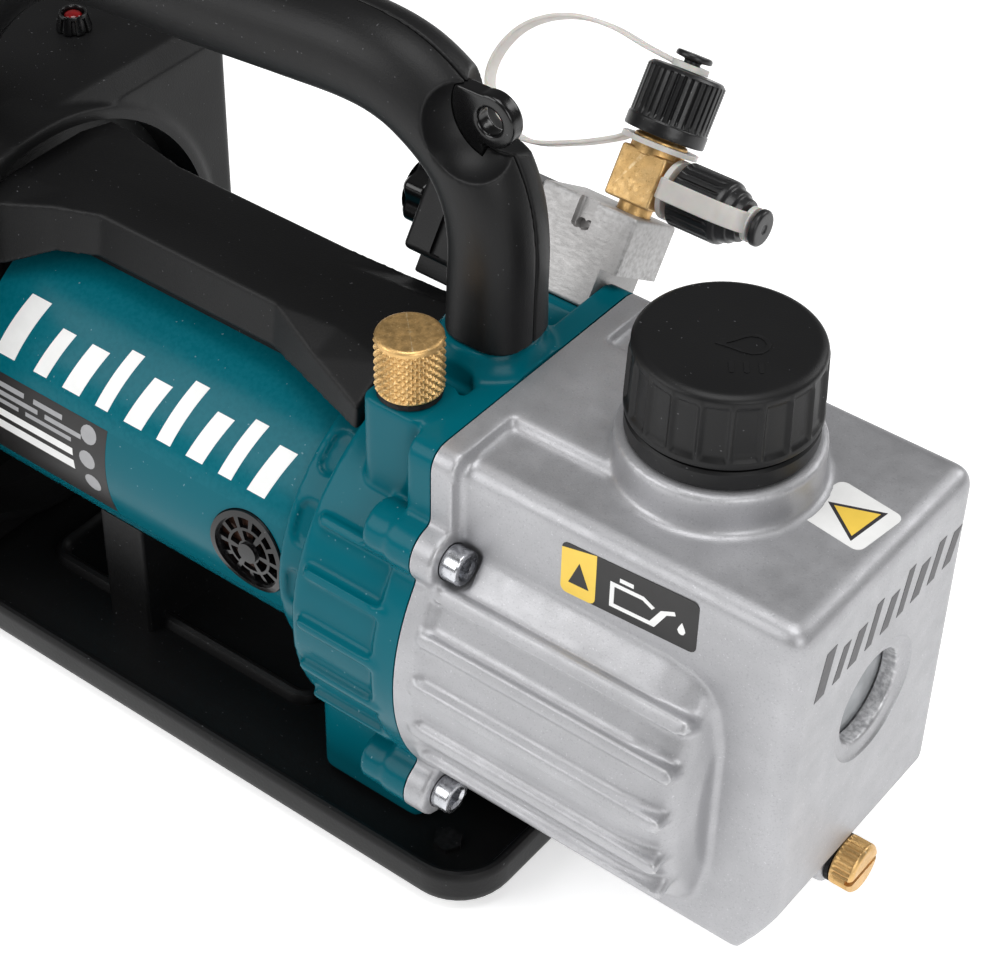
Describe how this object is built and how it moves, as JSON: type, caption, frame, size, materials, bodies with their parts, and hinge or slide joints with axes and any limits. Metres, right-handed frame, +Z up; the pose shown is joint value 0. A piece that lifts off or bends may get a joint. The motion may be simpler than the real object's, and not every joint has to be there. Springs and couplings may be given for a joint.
{
  "type": "hvac vacuum pump",
  "caption": "Portable rotary-vane vacuum pump with motor barrel, carrying handle, oil case, capped flare ports and solenoid valve on a flat tray with rubber feet.",
  "frame": {"origin": "middle of the box round the whole pump, on the surface its rubber feet stand on", "axes": "+X along the pump axis towards the oil case's front face, +Y towards the side with the leaning manifold, +Z up"},
  "size_m": [0.3808, 0.1726, 0.2416],
  "materials": {
    "silver_casting": "satin speckled silver paint on cast aluminium",
    "gasket_fibre": "matte compressed fibre",
    "teal_paint": "glossy teal enamel",
    "zinc_steel": "bright zinc plate",
    "clear_glass": "clear",
    "plain_steel": "machined",
    "cap_plastic": "fine moulded grain",
    "black_rubber": "matte",
    "brass": "grainy machined",
    "cast_iron": "machined, oily",
    "composite_vane": "matte",
    "copper_winding": "varnished laminations and wire",
    "moulded_black": "moulded texture, soft sheen",
    "gloss_black": "polished mould",
    "circuit_board": "solder mask",
    "terminal_yellow": "moulded",
    "lens_red": "clear red",
    "bare_aluminium": "extruded and milled",
    "clear_nylon": "translucent moulded nylon",
    "black_powder_coat": "fine powder coat"
  },
  "bodies": {
    "main": {"oil_case": "silver_casting", "case_gasket": "gasket_fibre", "pump_flange": "teal_paint", "case_screw_top_near": "zinc_steel", "case_screw_bottom_near": "zinc_steel", "case_screw_top_far": "zinc_steel", "case_screw_bottom_far": "zinc_steel", "sight_glass": "clear_glass", "sight_glass_ring": "plain_steel", "oil_mist_filter": "cap_plastic", "stage_cylinder": "cast_iron", "stage_end_plate": "cast_iron", "exhaust_reed": "plain_steel", "motor_stator": "copper_winding", "front_bearing": "plain_steel", "rear_bearing": "plain_steel", "shaft_seal": "black_rubber", "motor_tube": "teal_paint", "vent_grille": "gloss_black", "motor_shroud": "moulded_black", "rear_housing": "moulded_black", "terminal_block": "terminal_yellow", "controller_board": "circuit_board", "led_bezel": "gloss_black", "led_lens": "lens_red", "handle_near_half": "moulded_black", "handle_far_half": "moulded_black", "strap_lug": "gloss_black", "manifold_block": "bare_aluminium", "plunger_spring": "plain_steel", "armature_tube": "plain_steel", "solenoid_coil": "moulded_black", "coil_nut": "gloss_black", "tee_fitting": "brass", "base_tray": "black_powder_coat", "foot_rear_near": "black_rubber", "foot_rear_far": "black_rubber", "foot_front_near": "black_rubber", "foot_front_far": "black_rubber"},
    "oil_cap_lift": {"oil_cap_seal": "black_rubber"},
    "oil_cap_turn": {"oil_cap": "cap_plastic"},
    "drain_lift": {"drain_seal": "black_rubber"},
    "drain_turn": {"drain_plug": "brass"},
    "ballast_lift": {"ballast_seal": "black_rubber"},
    "ballast_turn": {"ballast_knob": "brass"},
    "large_cap_lift": {"large_cap_tether": "clear_nylon"},
    "large_cap_turn": {"large_flare_cap": "cap_plastic"},
    "small_cap_lift": {"small_cap_tether": "clear_nylon"},
    "small_cap_turn": {"small_flare_cap": "cap_plastic"},
    "battery_door": {"battery_cover": "moulded_black"},
    "door_latch": {"cover_latch": "moulded_black"},
    "rocker": {"power_rocker": "gloss_black"},
    "drive_train": {"motor_shaft": "plain_steel", "motor_rotor": "plain_steel", "cooling_fan": "moulded_black", "shaft_coupling": "plain_steel", "stage_rotor": "plain_steel", "vane_upper": "composite_vane", "vane_lower": "composite_vane"},
    "valve_armature": {"valve_plunger": "plain_steel"}
  },
  "joints": [
    {"name": "oil_cap_lift", "type": "slide", "parent": "main", "child": "oil_cap_lift", "axis": [0, 0, 1], "range_m": [0, 0.006]},
    {"name": "oil_cap_turn", "type": "hinge", "parent": "oil_cap_lift", "child": "oil_cap_turn", "pos_m": [0.13145, -0.00427, 0.17], "axis": [0, 0, 1], "range_deg": [0, 722]},
    {"name": "drain_lift", "type": "slide", "parent": "main", "child": "drain_lift", "axis": [1, 0, 0], "range_m": [0, 0.003]},
    {"name": "drain_turn", "type": "hinge", "parent": "drain_lift", "child": "drain_turn", "pos_m": [0.18445, -0.00427, 0.034], "axis": [1, 0, 0], "range_deg": [0, 1082]},
    {"name": "ballast_lift", "type": "slide", "parent": "main", "child": "ballast_lift", "axis": [0, 0, 1], "range_m": [0, 0.002]},
    {"name": "ballast_turn", "type": "hinge", "parent": "ballast_lift", "child": "ballast_turn", "pos_m": [0.05445, -0.03477, 0.16], "axis": [0, 0, 1], "range_deg": [0, 722]},
    {"name": "large_cap_lift", "type": "slide", "parent": "main", "child": "large_cap_lift", "axis": [0, 0.5592, 0.829], "range_m": [0, 0.00423]},
    {"name": "large_cap_turn", "type": "hinge", "parent": "large_cap_lift", "child": "large_cap_turn", "pos_m": [0.06225, 0.07178, 0.19175], "axis": [0, 0.5592, 0.829], "range_deg": [0, 1082]},
    {"name": "small_cap_lift", "type": "slide", "parent": "main", "child": "small_cap_lift", "axis": [1, 0, 0], "range_m": [0, 0.00381]},
    {"name": "small_cap_turn", "type": "hinge", "parent": "small_cap_lift", "child": "small_cap_turn", "pos_m": [0.08445, 0.05993, 0.17417], "axis": [1, 0, 0], "range_deg": [0, 1082]},
    {"name": "battery_door", "type": "hinge", "parent": "main", "child": "battery_door", "pos_m": [-0.18155, -0.00427, 0.142], "axis": [0, 1, 0], "range_deg": [0, 110]},
    {"name": "door_latch", "type": "slide", "parent": "battery_door", "child": "door_latch", "axis": [0, 0, 1], "range_m": [0, 0.005], "stiffness_N_per_m": 300},
    {"name": "power_rocker", "type": "hinge", "parent": "main", "child": "rocker", "pos_m": [-0.14555, -0.05427, 0.1455], "axis": [0, 1, 0], "range_deg": [-12, 12]},
    {"name": "drive_spin", "type": "hinge", "parent": "main", "child": "drive_train", "pos_m": [0.18445, -0.00427, 0.079], "axis": [1, 0, 0], "continuous": true},
    {"name": "valve_stroke", "type": "slide", "parent": "main", "child": "valve_armature", "axis": [-1, 0, 0], "range_m": [0, 0.0025], "stiffness_N_per_m": 400, "deforming": ["plunger_spring"]}
  ],
  "couplings": [
    {"joint": "oil_cap_turn", "follows": "oil_cap_lift", "rad_per_m": 2094.4},
    {"joint": "drain_turn", "follows": "drain_lift", "rad_per_m": 6283.2},
    {"joint": "ballast_turn", "follows": "ballast_lift", "rad_per_m": 6283.2},
    {"joint": "large_cap_turn", "follows": "large_cap_lift", "rad_per_m": 4456.2},
    {"joint": "small_cap_turn", "follows": "small_cap_lift", "rad_per_m": 4947.4}
  ]
}
